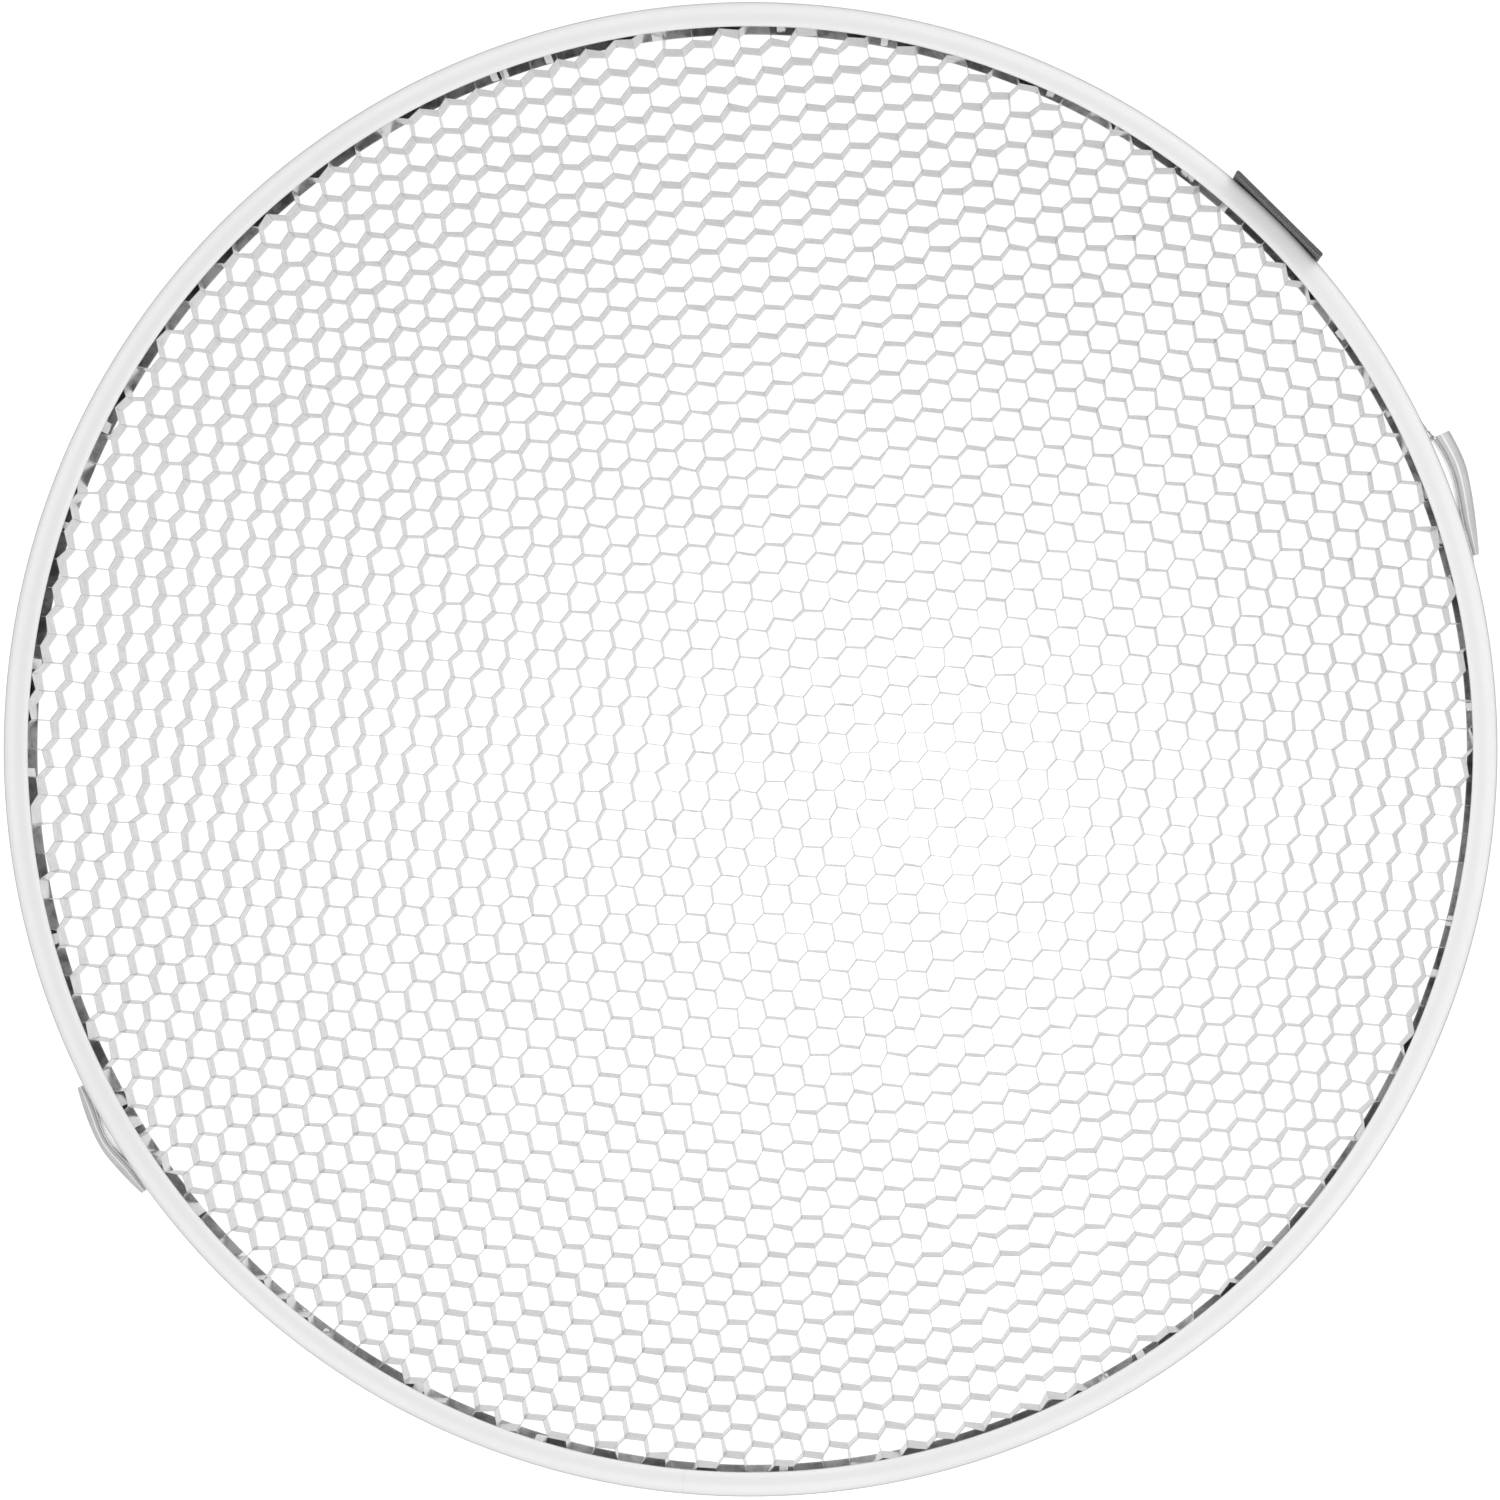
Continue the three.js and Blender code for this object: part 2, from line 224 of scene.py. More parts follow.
def ring_material():
    """White satin powder coat with painted shade: a dark line round the outer edge, a darker band across the
    front face, and a patchy dark channel inside, painted lighter towards -Y.
    """
    s = Shader("ring_finish")
    place = s.place()
    x, y, z = s.parts(place)
    radius = s.math("SQRT", s.math("ADD", s.math("MULTIPLY", x, x), s.math("MULTIPLY", y, y)))
    inner = s.ramp(radius, RING_R - 0.9 * MM, RING_R - 0.6 * MM, 1, 0)
    above_back = s.ramp(z, 0.4 * MM, 0.8 * MM)
    below_front = s.ramp(z, RING_DEPTH - 0.95 * MM, RING_DEPTH - 0.75 * MM, 1, 0)
    inside = s.math("MULTIPLY", inner, s.math("MULTIPLY", above_back, below_front))
    cloud = s.ramp(s.noise(place, 14, 4), 0.3, 0.7)
    coat = s.mix(cloud, grey(0.80), grey(0.83))
    # Painted shade: a slightly darker band across the middle of the front face.
    painted_shade_band = s.math("MULTIPLY", s.ramp(radius, RING_R - 7.6 * MM, RING_R - 6.2 * MM),
                     s.ramp(radius, RING_R - 5.2 * MM, RING_R - 3.0 * MM, 1, 0))
    coat = s.mix(painted_shade_band, coat, grey(0.765))
    # Painted shade: a dark line round the rounded outer edge of the front face.
    painted_edge_shade = s.math("MULTIPLY", s.ramp(radius, RING_R - 0.75 * MM, RING_R - 0.15 * MM),
                  s.ramp(z, RING_DEPTH - 2.6 * MM, RING_DEPTH - 1.9 * MM))
    coat = s.mix(painted_edge_shade, coat, grey(0.37))
    speck = s.ramp(s.noise(place, 1900, 2), 0.62, 0.75, 0, 0.35)
    coat = s.mix(speck, coat, grey(0.66))
    patchy = s.ramp(s.noise(place, 70, 6, 0.7), 0.38, 0.62)
    # Painted shade: the inside of the channel is painted a patchy dark grey.
    channel_painted_shade = s.mix(patchy, grey(0.24), grey(0.78))
    # Painted light: the inside of the channel is painted lighter towards -Y.
    painted_light_low_y = s.ramp(y, -230 * MM, -80 * MM, 1, 0)
    channel_painted_shade = s.mix(painted_light_low_y, channel_painted_shade, s.mix(patchy, grey(0.52), grey(0.95)))
    s.set(Base_Color=s.mix(inside, coat, channel_painted_shade))
    satin = s.ramp(s.noise(place, 90, 4), 0.3, 0.7, 0.36, 0.46)
    s.set(Roughness=s.math("ADD", satin, s.math("MULTIPLY", inside, 0.25)))
    peel = s.noise(place, 1300, 2)
    s.bump(peel, 0.03 * MM, 0.35)
    return s.material


def foil_material():
    """Rolled aluminium foil: fine grain, cloudy patches, darker front cut edges, and painted shade dulling
    walls that face along Y and the foil towards +X.
    """
    s = Shader("foil_finish")
    along = s.along()
    _, height, _ = s.parts(along)
    grain = s.noise(s.scaled(along, (90, 2600, 1)), 1, 3, 0.6)
    scratches = s.ramp(s.noise(s.scaled(along, (260, 9000, 1)), 1, 1), 0.66, 0.74)
    patches = s.ramp(s.noise(s.place(), 160, 3), 0.35, 0.7)
    # The walls are darker right at their front cut edges.
    to_front = s.math("SUBTRACT", CORE_FRONT, height)
    front_edge_darkening = s.ramp(to_front, 0.15 * MM, 0.5 * MM, 0.6, 0)
    metal = s.mix(patches, grey(0.95), grey(0.90))
    metal = s.mix(s.math("MULTIPLY", scratches, 0.35), metal, grey(0.7))
    metal = s.mix(s.ramp(grain, 0.35, 0.65, 0, 0.3), metal, grey(0.8))
    mottle = s.ramp(s.noise(s.scaled(along, (300, 220, 1)), 1, 3, 0.6), 0.34, 0.66)
    # Painted shade: walls facing along Y are given a duller tint.
    _, facing_y, _ = s.parts(s.normal())
    level = s.ramp(s.math("ABSOLUTE", facing_y), 0.75, 0.95)
    tint = s.mix(mottle, grey(0.69), grey(0.57))
    tint = s.mix(level, tint, grey(0.51))
    # Painted shade: the foil's tint is duller towards +X, and a little towards +Y.
    x, y, _ = s.parts(s.place())
    painted_shade_plus_x = s.ramp(s.math("ADD", x, s.math("MULTIPLY", y, 0.5)), 60 * MM, 210 * MM, 0, 0.55)
    tint = s.mix(painted_shade_plus_x, tint, grey(0.49))
    s.set(Base_Color=s.mix(front_edge_darkening, metal, grey(0.6)), Metallic=0.66)
    s.set(Specular_Tint=s.mix(front_edge_darkening, tint, grey(0.6)))
    s.set(Roughness=s.ramp(grain, 0.3, 0.7, 0.15, 0.24))
    s.bump(grain, 0.01 * MM, 0.4)
    return s.material


def steel_material():
    """Bright spring strip, polished along its length, with fine scratches."""
    s = Shader("spring_finish")
    along = s.along()
    grain = s.noise(s.scaled(along, (120, 5200, 1)), 1, 4, 0.6)
    stain = s.ramp(s.noise(s.place(), 210, 4), 0.4, 0.75)
    scratch = s.ramp(s.noise(s.scaled(along, (700, 2400, 1)), 1, 2), 0.66, 0.72)
    metal = s.mix(stain, grey(0.80), grey(0.68))
    s.set(Base_Color=s.mix(s.math("MULTIPLY", scratch, 0.4), metal, grey(0.45)), Metallic=1.0)
    s.set(Roughness=s.ramp(grain, 0.3, 0.7, 0.17, 0.32))
    s.bump(grain, 0.01 * MM, 0.4)
    return s.material


def bumper_material():
    """Smooth light grey plastic extrusion with faint die lines, a painted highlight along its crest, painted
    light on the side facing the ring's wall and painted shade on its outer side.
    """
    s = Shader("bumper_finish")
    along = s.along()
    lines = s.noise(s.scaled(along, (30, 3600, 1)), 1, 2)
    cloud = s.ramp(s.noise(s.place(), 120, 3), 0.3, 0.7)
    scuff = s.ramp(s.noise(s.scaled(s.place(), (900, 900, 500)), 1, 4, 0.7), 0.6, 0.72, 0, 0.5)
    _, section, _ = s.parts(along)  # 4.2 mm faces the ring's wall, 8.4 mm the front, 12.6 mm outwards
    # Painted highlight: a thin light line along the crest.
    to_painted_highlight = s.math("ABSOLUTE", s.math("SUBTRACT", section, 8.0 * MM))
    # Painted light: the side facing the ring's wall is painted lighter to undo its shade.
    painted_light_inner_side = s.ramp(section, 6.6 * MM, 7.7 * MM, 1, 0)
    # Painted shade: the outer side is painted darker.
    painted_shade_outer_side = s.ramp(section, 9.6 * MM, 10.9 * MM)
    plastic = s.mix(cloud, grey(0.52), grey(0.57))
    plastic = s.mix(s.ramp(to_painted_highlight, 0.1 * MM, 0.42 * MM, 1, 0), plastic, grey(0.86))
    plastic = s.mix(painted_light_inner_side, plastic, grey(0.85))
    plastic = s.mix(painted_shade_outer_side, plastic, grey(0.36))
    shine = s.ramp(section, 9.3 * MM, 10.4 * MM, 0.5, 0.15)
    s.set(Base_Color=s.mix(scuff, plastic, grey(0.40)), IOR=1.49, Specular_IOR_Level=shine)
    s.set(Roughness=s.ramp(lines, 0.3, 0.7, 0.2, 0.32))
    s.bump(lines, 0.02 * MM, 0.4)
    return s.material


def webbing_material():
    """Dark woven polyester: ribbed weave, frayed fibre specks, soft sheen."""
    s = Shader("webbing_finish")
    along = s.along()
    u, v, _ = s.parts(along)
    weft = s.math("SINE", s.math("MULTIPLY", v, 2 * math.pi / (0.9 * MM)))
    warp = s.math("SINE", s.math("MULTIPLY", u, 2 * math.pi / (0.55 * MM)))
    weave = s.ramp(s.math("MULTIPLY", weft, warp), -1, 1)
    fibre = s.noise(s.scaled(along, (9000, 2600, 1)), 1, 3, 0.7)
    speck = s.ramp(s.noise(s.place(), 2300, 2), 0.63, 0.7)
    cloth = s.mix(weave, grey(0.050), grey(0.085))
    cloth = s.mix(s.math("MULTIPLY", fibre, 0.5), cloth, grey(0.16))
    s.set(Base_Color=s.mix(s.math("MULTIPLY", speck, 0.55), cloth, grey(0.30)))
    s.set(Roughness=s.ramp(fibre, 0.3, 0.7, 0.72, 0.95), Sheen_Weight=0.35, Sheen_Roughness=0.4)
    s.bump(s.math("ADD", weave, s.math("MULTIPLY", fibre, 0.5)), 0.12 * MM, 0.7)
    return s.material


def rivet_material():
    """Pressed aluminium, faintly turned, dull where it was set."""
    s = Shader("rivet_finish")
    along = s.along()
    turned = s.noise(s.scaled(along, (150, 9000, 1)), 1, 2)
    dull = s.ramp(s.noise(s.place(), 700, 4), 0.4, 0.7)
    s.set(Base_Color=s.mix(dull, grey(0.84), grey(0.66)), Metallic=1.0)
    s.set(Roughness=s.ramp(turned, 0.3, 0.7, 0.26, 0.42))
    s.bump(turned, 0.02 * MM, 0.4)
    return s.material


MATERIALS = {
    "ring": ring_material(),
    "foil": foil_material(),
    "spring_steel": steel_material(),
    "bumper": bumper_material(),
    "webbing": webbing_material(),
    "rivet": rivet_material(),
}

# ---------------------------------------------------------------- mesh helpers


def direction(degrees):
    """Straight outwards at an angle around the ring."""
    return Vector((math.cos(math.radians(degrees)), math.sin(math.radians(degrees)), 0))


def on_ring(degrees, height, z):
    """A point at a height above the ring's outer wall, at an angle around the ring."""
    return direction(degrees) * (RING_R + height) + Vector((0, 0, z))


def new_object(name, points, faces, uv=None, smooth=35):
    """A mesh object; uv gives each point its running coordinates in metres."""
    mesh = bpy.data.meshes.new(name)
    mesh.from_pydata([tuple(p) for p in points], [], [tuple(int(i) for i in f) for f in faces])
    if uv is not None:
        layer = mesh.uv_layers.new(name="along")
        corner = np.empty(len(mesh.loops), np.int32)
        mesh.loops.foreach_get("vertex_index", corner)
        layer.data.foreach_set("uv", np.asarray(uv, np.float32)[corner].ravel())
    mesh.shade_smooth()
    mesh.set_sharp_from_angle(angle=math.radians(smooth))
    obj = bpy.data.objects.new(name, mesh)
    bpy.context.scene.collection.objects.link(obj)
    return obj


def finish_piece(obj, slot, body, replaced):
    """Gives a piece its finish, its body and the CAD nodes that it stands for."""
    obj.data.materials.clear()
    obj.data.materials.append(MATERIALS[slot])
    if body:
        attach(obj, body)
    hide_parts(*replaced)
    return obj


def tube(sections):
    """Points and faces of a solid through equal rows of points, with flat ends."""
    rows, n = len(sections), len(sections[0])
    faces = [tuple(reversed(range(n)))]
    for r in range(rows - 1):
        a, b = r * n, (r + 1) * n
        faces += [(a + i, a + (i + 1) % n, b + (i + 1) % n, b + i) for i in range(n)]
    faces.append(tuple(range((rows - 1) * n, rows * n)))
    return [p for row in sections for p in row], faces


def spline(points, steps):
    """A smooth curve through points given as (x, y), as steps + 1 points (Catmull-Rom)."""
    p = [np.array(q, float) for q in points]
    p = [2 * p[0] - p[1], *p, 2 * p[-1] - p[-2]]
    made = []
    for i in range(steps + 1):
        t = i / steps * (len(points) - 1)
        k = min(int(t), len(points) - 2)
        f = t - k
        a, b, c, d = p[k : k + 4]
        square = 2 * a - 5 * b + 4 * c - d
        cube = 3 * b - a - 3 * c + d
        made.append(0.5 * (2 * b + (c - a) * f + square * f**2 + cube * f**3))
    return made


def smoothstep(x, low, high):
    """0 below low, 1 above high and a smooth rise between."""
    t = min(max((x - low) / (high - low), 0), 1)
    return t * t * (3 - 2 * t)


def subtract(obj, tools):
    """Cuts closed tool objects out of obj and removes them."""
    for tool in tools:
        modifier = obj.modifiers.new("cut", "BOOLEAN")
        modifier.operation = "DIFFERENCE"
        modifier.solver = "EXACT"
        modifier.object = tool
    graph = bpy.context.evaluated_depsgraph_get()
    mesh = bpy.data.meshes.new_from_object(obj.evaluated_get(graph))
    obj.modifiers.clear()
    old, obj.data = obj.data, mesh
    bpy.data.meshes.remove(old)
    mesh.name = obj.name
    for tool in tools:
        data = tool.data
        bpy.data.objects.remove(tool)
        bpy.data.meshes.remove(data)


def lathe(name, profile, steps):
    """A solid turned about its X axis from (radius, height along X) points that start and end on it."""
    points = [(profile[0][1], 0, 0)]
    uv = [(0, profile[0][0])]
    inner = profile[1:-1]
    for r, h in inner:
        for i in range(steps):
            a = 2 * math.pi * i / steps
            points.append((h, r * math.cos(a), r * math.sin(a)))
            uv.append((a * r, r))
    points.append((profile[-1][1], 0, 0))
    uv.append((0, 0))
    last = len(points) - 1
    faces = []
    for i in range(steps):
        j = (i + 1) % steps
        faces.append((0, 1 + j, 1 + i))
        for k in range(len(inner) - 1):
            a, b = 1 + k * steps, 1 + (k + 1) * steps
            faces.append((a + i, a + j, b + j, b + i))
        a = 1 + (len(inner) - 1) * steps
        faces.append((a + i, a + j, last))
    return new_object(name, points, faces, uv, 30)


def turn_to(obj, degrees, side, z):
    """Moves an object made along +X about the origin to an angle on the ring, side metres along it."""
    a = math.radians(degrees)
    for v in obj.data.vertices:
        x, y = v.co.x, v.co.y + side
        v.co = (x * math.cos(a) - y * math.sin(a), x * math.sin(a) + y * math.cos(a), v.co.z + z)
    return obj


# ---------------------------------------------------------------- where the rivets go

CLIP_RIVETS = {c["name"]: [(c["pivot"] - step, 0, MID_Z) for step in (7.4, 5.6)] for c in CLIPS}
SPLICE_RIVETS = [(SEAM_ANGLE + step, 0, z * MM) for step in (-2.6, 2.6) for z in (6.5, 16.5)]
TAB_RIVETS = [(TAB_ANGLE, side * MM, 11 * MM) for side in (-13, 13)]

# ---------------------------------------------------------------- ring


def ring_profile():
    """The rolled channel's closed section as (radius, height) points, outside first."""
    points = []

    def arc(cr, cz, radius, start, end, steps):
        for i in range(steps + 1):
            a = math.radians(start + (end - start) * i / steps)
            points.append((cr + radius * math.cos(a), cz + radius * math.sin(a)))

    lip = 0.5 * WALL
    arc(OPENING_R + 0.45 * MM, lip, lip * 0.9, -180, -90, 5)
    arc(RING_R - REAR_ROUND, REAR_ROUND, REAR_ROUND, -90, 0, 6)
    arc(RING_R - FRONT_ROUND, RING_DEPTH - FRONT_ROUND, FRONT_ROUND, 0, 88, 14)
    crown = [(RING_R - 2.9 * MM, 0), (RING_R - 5.0 * MM, -0.06 * MM), (RING_R - 6.6 * MM, -0.03 * MM),
             (RING_R - 7.8 * MM, -0.16 * MM)]
    points += [(r, RING_DEPTH + h) for r, h in crown]
    nose = RING_DEPTH - 0.24 * MM - 0.5 * WALL
    arc(OPENING_R + 0.5 * WALL, nose, 0.5 * WALL, 80, 270, 12)
    points += [(r, RING_DEPTH + h - WALL) for r, h in reversed(crown[:3])]
    arc(RING_R - FRONT_ROUND, RING_DEPTH - FRONT_ROUND, FRONT_ROUND - WALL, 88, 0, 6)
    arc(RING_R - WALL - 0.4 * MM, WALL + 0.4 * MM, 0.4 * MM, 0, -90, 4)
    points.append((OPENING_R + 0.6 * MM, WALL * 0.97))
    return points


def slot_cutter(name, start, end, height, z):
    """A stadium-shaped cutter for a slot with round ends."""
    half = math.radians(end - start) / 2 * RING_R
    corner = 1.2 * MM
    outline = []
    for side, up, first in ((1, 1, 0), (-1, 1, 90), (-1, -1, 180), (1, -1, 270)):
        for i in range(7):
            a = math.radians(first + 15 * i)
            outline.append((side * (half - corner) + corner * math.cos(a),
                            up * (height / 2 - corner) + corner * math.sin(a)))
    rows = [[(r, t, h) for t, h in outline] for r in (RING_R - 3 * MM, RING_R + 3 * MM)]
    return turn_to(new_object(name, *tube(rows)), (start + end) / 2, 0, z)


def make_ring():
    """The rolled channel, open only at its thin seam, with its slots and rivet holes."""
    steps = 720
    profile = ring_profile()
    start = math.radians(SEAM_ANGLE) + SEAM_WIDTH / RING_R / 2
    sweep = 2 * math.pi - SEAM_WIDTH / RING_R
    sections, uv = [], []
    for i in range(steps + 1):
        a = start + sweep * i / steps
        sections.append([(r * math.cos(a), r * math.sin(a), z) for r, z in profile])
        uv += [(a * RING_R, k * 0.5 * MM) for k in range(len(profile))]
    ring = new_object("channel_ring", *tube(sections), uv, 40)
    tools = []
    slot_height = LEAF_W + 1.6 * MM
    for clip in CLIPS:
        tools.append(slot_cutter("cut", clip["pivot"] - 4.3, clip["pivot"] - 0.9, slot_height, MID_Z))
        tools.append(slot_cutter("cut", *clip["slot"], slot_height, MID_Z))
    for site in [s for sites in CLIP_RIVETS.values() for s in sites] + SPLICE_RIVETS:
        cone = [(0, RING_R - 3 * MM), (1.22 * MM, RING_R - 3 * MM), (1.22 * MM, RING_R - WALL),
                (2.06 * MM, RING_R - 0.02 * MM), (2.06 * MM, RING_R + 1 * MM), (0, RING_R + 1 * MM)]
        tools.append(turn_to(lathe("cut", cone, 24), *site))
    for site in TAB_RIVETS:
        low, high = RING_R - 4 * MM, RING_R + 1 * MM
        hole = [(0, low), (1.25 * MM, low), (1.25 * MM, high), (0, high)]
        tools.append(turn_to(lathe("cut", hole, 24), *site))
    subtract(ring, tools)
    ring.data.shade_smooth()
    ring.data.set_sharp_from_angle(angle=math.radians(40))
    return finish_piece(ring, "ring", "grid", ["frame_ring"])


def make_splice():
    """The curved plate that bridges the seam from behind."""
    outer, inner = RING_R - WALL, RING_R - WALL - SPLICE_T
    corner, steps = 1.5 * MM, 48
    half = math.radians(SPLICE_SPAN / 2) * outer
    sections, uv = [], []
    for i in range(steps + 1):
        t = -half + 2 * half * i / steps
        near_end = max(abs(t) - (half - corner), 0) / corner
        height = SPLICE_H / 2 - corner * (1 - math.sqrt(max(1 - near_end**2, 0)))
        a = SEAM_ANGLE + math.degrees(t / outer)
        edge = 0.12 * MM
        outline = [(outer, -height + edge), (outer, height - edge), (outer - edge, height),
                   (inner + edge, height), (inner, height - edge), (inner, -height + edge),
                   (inner + edge, -height), (outer - edge, -height)]
        sections.append([direction(a) * r + Vector((0, 0, MID_Z + h)) for r, h in outline])
        uv += [(t, h) for _, h in outline]
    plate = new_object("splice_strap", *tube(sections), uv, 40)
    return finish_piece(plate, "ring", "grid", ["splice_plate"])


def make_rivet(name, site, stem_end, head, node):
    """A solid rivet through the wall: a pressed tail inside, then the given head outside."""
    tail = [(0, stem_end - 0.8 * MM), (1.1 * MM, stem_end - 0.8 * MM), (1.75 * MM, stem_end - 0.62 * MM),
            (2.0 * MM, stem_end - 0.35 * MM), (1.9 * MM, stem_end - 0.06 * MM), (1.8 * MM, stem_end)]
    obj = turn_to(lathe(name, [*tail, (1.18 * MM, stem_end), *head], 36), *site)
    return finish_piece(obj, "rivet", "grid", [node])


def flush_head():
    """A countersunk head just below the wall's surface, with a shallow dimple."""
    top = RING_R - 0.04 * MM
    return [(1.18 * MM, RING_R - WALL), (1.98 * MM, top - 0.05 * MM), (1.9 * MM, top), (0.95 * MM, top),
            (0.75 * MM, top - 0.12 * MM), (0.3 * MM, top - 0.16 * MM), (0, top - 0.16 * MM)]


def domed_head(seat):
    """A round head that sits at the given radius of the ring."""
    dome = [(2.4 * MM * math.cos(a), seat + 0.12 * MM + 0.75 * MM * math.sin(a))
            for a in (math.radians(d) for d in range(0, 90, 15))]
    return [(1.18 * MM, seat), (2.38 * MM, seat), *dome, (0, seat + 0.87 * MM)]


def make_rivets():
    """Flush rivets for the clips and the splice, domed ones on the webbing."""
    inside = RING_R - WALL
    for name, sites in CLIP_RIVETS.items():
        for i, site in enumerate(sites, 1):
            make_rivet(f"{name}_flush_rivet_{i}", site, inside - LEAF_T, flush_head(), f"{name}_rivet_{i}")
    for i, site in enumerate(SPLICE_RIVETS, 1):
        make_rivet(f"splice_flush_rivet_{i}", site, inside - SPLICE_T, flush_head(), f"splice_rivet_{i}")
    seat = RING_R + TAB_T + 0.05 * MM
    for i, site in enumerate(TAB_RIVETS, 1):
        make_rivet(f"tab_domed_rivet_{i}", site, inside - 0.35 * MM, domed_head(seat), f"tab_rivet_{i}")


# ---------------------------------------------------------------- foil core

ALONG = np.array([math.cos(RIBBON_ANGLE), math.sin(RIBBON_ANGLE)])
ACROSS = np.array([-ALONG[1], ALONG[0]])
BONDS = 36  # glued walls looked at on each line, more than any line holds
LINES = 2 * HALF_RIBBONS + 2


def drift(random, counts, steps):
    """A field of values from -1 to 1 that changes smoothly, with one knot every few places each way."""
    field = random.uniform(-1, 1, [count // step + 3 for count, step in zip(counts, steps)])
    for axis in (0, 1):
        x = np.arange(counts[axis]) / steps[axis]
        k = x.astype(int)
        f = x - k
        f = f * f * (3 - 2 * f)
        field = np.moveaxis(field, axis, -1)
        field = np.moveaxis(field[..., k] * (1 - f) + field[..., k + 1] * f, -1, axis)
    return field


def glued_walls():
    """Ends of every glued wall at the back and front of the core: array [line, bond, end, level, xy]."""
    random = np.random.RandomState(4)
    line = np.arange(LINES)[:, None] - HALF_RIBBONS
    bond = np.arange(BONDS)[None, :] - BONDS // 2
    u = FIRST_BOND[0] - BOND_SLIP * line + BOND_PERIOD * (bond + 0.5 * (line % 2))
    v = FIRST_BOND[1] + BOND_SPACING * line + 0 * u
    sway = np.where(line % 2, 1, -1) * drift(random, u.shape, (5, 14))
    turn = BOND_TILT + BOND_SWAY * sway + BOND_WOBBLE * drift(random, u.shape, (1, 6))
    turn += math.radians(2.0) * random.uniform(-1, 1, u.shape)
    half = BOND_LENGTH / 2 * (1 + 0.04 * random.uniform(-1, 1, u.shape))
    u = u + 0.16 * MM * random.randn(*u.shape)
    v = v + 0.10 * MM * random.randn(*v.shape)
    lean = 0.10 * MM * random.randn(*u.shape, 2, 2)
    middle = u[..., None] * ALONG + v[..., None] * ACROSS
    angle = RIBBON_ANGLE + turn
    step = half[..., None] * np.stack([np.cos(angle), np.sin(angle)], -1)
    ends = np.stack([middle - step, middle + step], 2)
    levels = np.stack([ends - lean, ends + lean], 3)
    radius = np.hypot(middle[..., 0], middle[..., 1])
    crumple = np.clip((radius - 243 * MM) / (10 * MM), 0, 1)[..., None, None, None]
    return levels + crumple * 0.45 * MM * random.randn(*levels.shape)


def core_limit(points):
    """How far out the foil reaches at each point's place round the ring."""
    angle = np.degrees(np.arctan2(points[:, 1], points[:, 0])) % 360
    limit = np.full(len(points), CORE_R)
    for clip in CLIPS:
        near = (angle > clip["pivot"] - FOOT_REACH - 1.5) & (angle < clip["slot"][1] + 1.5)
        limit[near] = CORE_R_AT_CLIPS
    return limit


def ribbon_path(index, walls):
    """Back and front lines of one ribbon, wall after wall, as arrays of points."""
    back, front = [], []
    for bond in range(BONDS - 1):
        for line in (index, index + 1):
            ends = walls[line, bond]
            shift = (FOIL_T + GLUE_T) / 2 * (1 if line == index else -1)
            run = ends[1] - ends[0]
            side = np.stack([-run[:, 1], run[:, 0]], -1)
            side = side / np.linalg.norm(side, axis=1)[:, None] * shift
            back.append((ends[0][0] + side[0], ends[1][0] + side[0]))
            front.append((ends[0][1] + side[1], ends[1][1] + side[1]))
    order = np.argsort([np.dot(b[0] + b[1], ALONG) for b in back])
    back = np.array(back)[order].reshape(-1, 2)
    front = np.array(front)[order].reshape(-1, 2)
    return back, front


def refined(back, front, random):
    """Splits each wall into short steps and bows it slightly."""
    rows_back, rows_front, rows_bow = [], [], []
    for i in range(len(back) - 1):
        free = i % 2 == 1
        steps = 4 if free else 3
        bow = (0.16 if free else 0.05) * MM * random.randn()
        for k in range(steps):
            t = k / steps
            rows_back.append(back[i] * (1 - t) + back[i + 1] * t)
            rows_front.append(front[i] * (1 - t) + front[i + 1] * t)
            rows_bow.append(bow * 4 * t * (1 - t))
    return np.array(rows_back), np.array(rows_front), np.array(rows_bow)


def trimmed(back, front, bow):
    """Keeps the stretch inside the ring's channel and ends it on the limit circle."""
    middle = (back + front) / 2
    radius = np.hypot(middle[:, 0], middle[:, 1])
    limit = core_limit(middle)
    inside = radius < limit
    if not inside.any():
        return None
    centre = np.argmin(radius)
    low, high = centre, centre
    while low > 0 and inside[low - 1]:
        low -= 1
    while high + 1 < len(inside) and inside[high + 1]:
        high += 1

    def end(near, far):
        share = np.clip((limit[near] - radius[near]) / max(radius[far] - radius[near], 1e-9), 0.05, 1)
        return [a[near] * (1 - share) + a[far] * share for a in (back, front, bow)]

    rows = zip(end(low, low - 1), (back, front, bow), end(high, high + 1))
    return [np.concatenate([[first], row[low : high + 1], [last]]) for first, row, last in rows]


def fold_ends(back, front, bow, random):
    """Lays some ribbon ends over along the channel, leaning in at the back."""
    for at_start in (True, False):
        folded, turn, length, lean = random.rand(4)
        tip = (0.5 * (back + front))[0 if at_start else -1]
        radius = np.hypot(*tip)
        if folded > FOLDED_SHARE or radius < 250.5 * MM:
            continue
        sign = 1 if turn > 0.5 else -1
        angle = math.atan2(tip[1], tip[0])
        count = 4
        add_back, add_front = [], []
        for k in range(1, count + 1):
            a = angle + sign * (4.5 + 3.5 * length) * MM * k / count / radius
            r_back = radius + (FOLDED_R + lean * MM - radius) * min(1.9 * k / count, 1)
            r_front = radius - 0.5 * MM * k / count
            add_back.append((r_back * math.cos(a), r_back * math.sin(a)))
            add_front.append((r_front * math.cos(a), r_front * math.sin(a)))
        if at_start:
            back = np.concatenate([add_back[::-1], back])
            front = np.concatenate([add_front[::-1], front])
            bow = np.concatenate([np.zeros(count), bow])
        else:
            back = np.concatenate([back, add_back])
            front = np.concatenate([front, add_front])
            bow = np.concatenate([bow, np.zeros(count)])
    return back, front, bow


